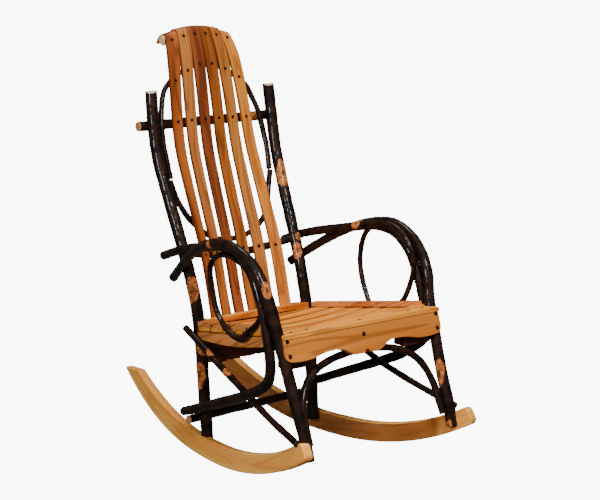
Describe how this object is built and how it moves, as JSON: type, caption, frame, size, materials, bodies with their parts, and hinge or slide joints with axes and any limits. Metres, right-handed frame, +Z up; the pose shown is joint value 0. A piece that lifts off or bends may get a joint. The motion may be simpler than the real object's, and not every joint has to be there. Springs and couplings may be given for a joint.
{
  "type": "rocking chair",
  "caption": "Rocking chair of bent bark-covered poles with hooped arms, a tall fanned back of thin wooden slats, a dished slatted seat and two curved board rockers.",
  "frame": {"origin": "on the floor, on the middle plane, half way along the chair's depth", "axes": "+Z up, +X across to the sitter's left, the chair faces -Y"},
  "size_m": [0.6452, 0.977, 1.165],
  "materials": {
    "bark_pole": "dark bark under clear varnish, pale at the cut ends and on worn patches",
    "back_wood": "clear-varnished hardwood, orange brown",
    "seat_wood": "clear-varnished hardwood, golden tan",
    "apron_wood": "clear-varnished hardwood with plain grain",
    "rocker_wood": "clear-varnished hardwood, golden tan",
    "bare_wood": "pale bare hardwood",
    "dark_board": "dark stained board",
    "iron_heads": "dark iron nail and screw heads"
  },
  "bodies": {
    "root": {"apron_screws": "iron_heads", "arm_hoop_left": "bark_pole", "arm_hoop_right": "bark_pole", "arm_ring_left": "bark_pole", "arm_ring_right": "bark_pole", "back_hoop": "bark_pole", "back_slat_1": "back_wood", "back_slat_2": "back_wood", "back_slat_3": "back_wood", "back_slat_4": "back_wood", "back_slat_5": "back_wood", "back_slat_6": "back_wood", "back_slat_nails": "iron_heads", "corner_block_left": "bare_wood", "corner_block_right": "bare_wood", "crest_pole": "bark_pole", "front_apron": "apron_wood", "front_arch_brace": "bark_pole", "leg_hoop_left": "bark_pole", "leg_hoop_right": "bark_pole", "leg_nails": "iron_heads", "low_back_hoop": "bark_pole", "low_back_pole": "bark_pole", "rear_apron": "dark_board", "rear_post_left": "bark_pole", "rear_post_right": "bark_pole", "rear_stretcher": "bark_pole", "rocker_left": "rocker_wood", "rocker_right": "rocker_wood", "seat_front_board": "seat_wood", "seat_nails": "iron_heads", "seat_rear_slat": "seat_wood", "seat_rear_strip": "seat_wood", "seat_side_board_left": "seat_wood", "seat_side_board_right": "seat_wood", "seat_side_strip_left": "seat_wood", "seat_side_strip_right": "seat_wood", "seat_slat_1": "seat_wood", "seat_slat_2": "seat_wood", "seat_slat_3": "seat_wood", "seat_slat_4": "seat_wood", "seat_slat_5": "seat_wood", "seat_slat_6": "seat_wood", "side_brace_left": "bark_pole", "side_brace_right": "bark_pole", "top_batten": "bare_wood"}
  },
  "joints": []
}
